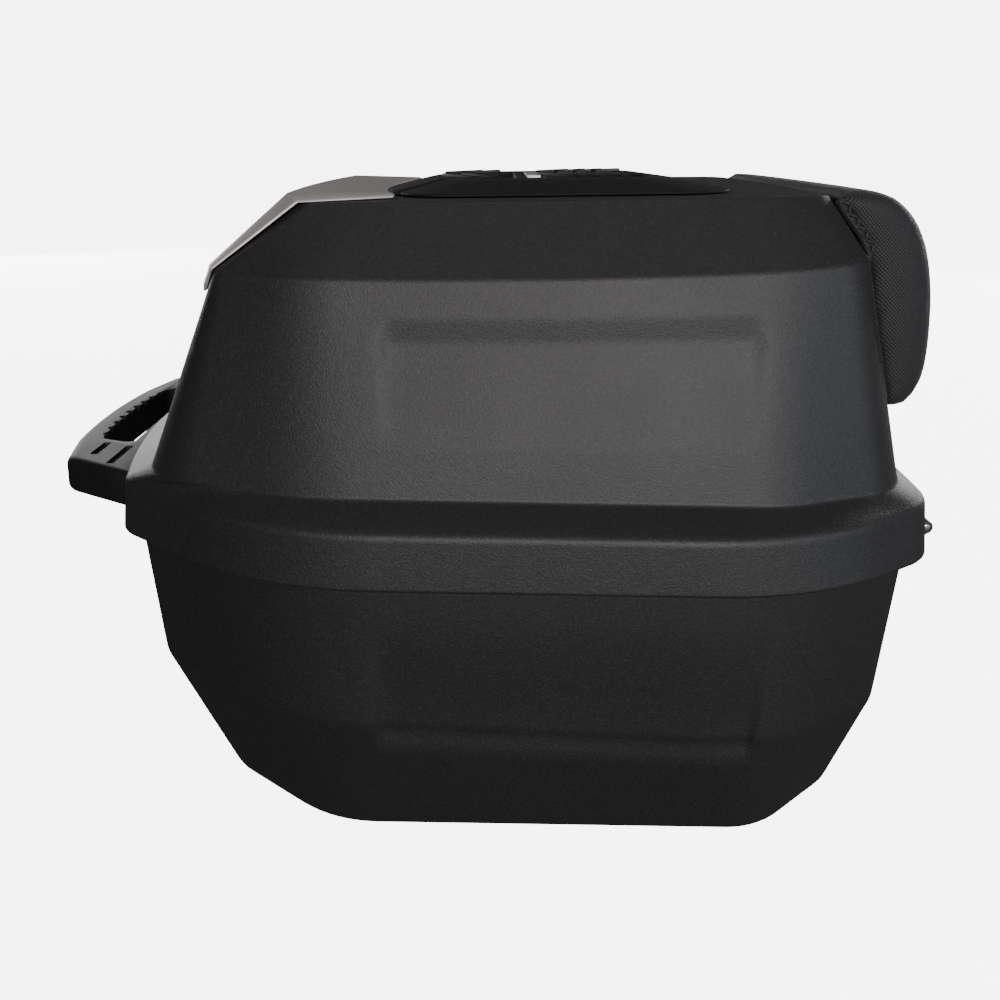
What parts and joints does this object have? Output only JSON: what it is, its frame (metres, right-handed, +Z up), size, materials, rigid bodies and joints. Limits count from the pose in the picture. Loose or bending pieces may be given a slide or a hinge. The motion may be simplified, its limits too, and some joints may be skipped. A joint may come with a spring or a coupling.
{
  "type": "motorcycle luggage case",
  "caption": "Hard motorcycle luggage case with hinged clam-shell lid, key-locked press button, carry handle, padded backrest and quick-release base.",
  "frame": {"origin": "centre of the base's flat underside, where it seats on the carrier plate", "axes": "+X towards the motorcycle's front, where the hinges and the backrest are; -X towards the carry handle and the lock; +Z up; the case is symmetric about Y = 0 apart from the lock and the springs"},
  "size_m": [0.4968, 0.422, 0.3447],
  "materials": {
    "black_plastic": "fine moulded grain",
    "inner_plastic": "satin moulded",
    "rubber": "matt",
    "silver_trim": "satin silver",
    "bright_steel": "bright",
    "zinc_plated": "zinc plated",
    "woven_cushion": "fine diamond weave over foam"
  },
  "bodies": {
    "base": {"base_shell": "black_plastic", "button_spring": "bright_steel", "handle": "black_plastic", "handle_screw_left_1": "zinc_plated", "handle_screw_left_2": "zinc_plated", "handle_screw_right_1": "zinc_plated", "handle_screw_right_2": "zinc_plated", "hinge_pin_left": "bright_steel", "hinge_pin_right": "bright_steel", "latch_cover": "inner_plastic", "latch_pin": "bright_steel", "latch_spring": "bright_steel", "lock_housing": "black_plastic", "lock_screw_left": "zinc_plated", "lock_screw_right": "zinc_plated", "release_housing": "inner_plastic", "release_screw_left_1": "zinc_plated", "release_screw_left_2": "zinc_plated", "release_screw_right_1": "zinc_plated", "release_screw_right_2": "zinc_plated", "release_spring": "bright_steel", "rim_seal": "rubber"},
    "lid": {"backrest_pad": "woven_cushion", "backrest_plate": "inner_plastic", "backrest_screw_1": "zinc_plated", "backrest_screw_2": "zinc_plated", "backrest_screw_3": "zinc_plated", "backrest_screw_4": "zinc_plated", "badge_plate": "silver_trim", "lid_shell": "black_plastic", "lid_striker": "bright_steel", "lid_trim": "silver_trim", "striker_screw_left": "zinc_plated", "striker_screw_right": "zinc_plated", "top_cover": "black_plastic", "top_cover_screw_1": "zinc_plated", "top_cover_screw_2": "zinc_plated", "top_cover_screw_3": "zinc_plated", "top_cover_screw_4": "zinc_plated", "trim_clip_left": "zinc_plated", "trim_clip_right": "zinc_plated"},
    "lid_button": {"lid_button": "black_plastic"},
    "key_barrel": {"lock_barrel": "zinc_plated", "barrel_cam": "zinc_plated"},
    "latch": {"latch_lever": "bright_steel"},
    "release": {"release_button": "black_plastic", "release_slide": "bright_steel"}
  },
  "joints": [
    {"name": "lid_hinge", "type": "hinge", "parent": "base", "child": "lid", "pos_m": [0.243, 0, 0.159], "axis": [0, 1, 0], "range_deg": [0, 95]},
    {"name": "lid_button_press", "type": "slide", "parent": "base", "child": "lid_button", "axis": [1, 0, 0], "range_m": [0, 0.0032], "stiffness_N_per_m": 400, "springref_m": -0.004, "deforming": ["button_spring"]},
    {"name": "key_turn", "type": "hinge", "parent": "lid_button", "child": "key_barrel", "pos_m": [-0.2, 0, 0.134], "axis": [1, 0, 0], "range_deg": [0, 90]},
    {"name": "latch_turn", "type": "hinge", "parent": "base", "child": "latch", "pos_m": [-0.179, 0, 0.112], "axis": [0, 1, 0], "range_deg": [0, 6]},
    {"name": "release_press", "type": "slide", "parent": "base", "child": "release", "axis": [1, 0, 0], "range_m": [0, 0.008], "stiffness_N_per_m": 500, "springref_m": -0.004, "deforming": ["release_spring"]}
  ],
  "couplings": [
    {"joint": "latch_turn", "follows": "lid_button_press", "rad_per_m": 29.5}
  ]
}
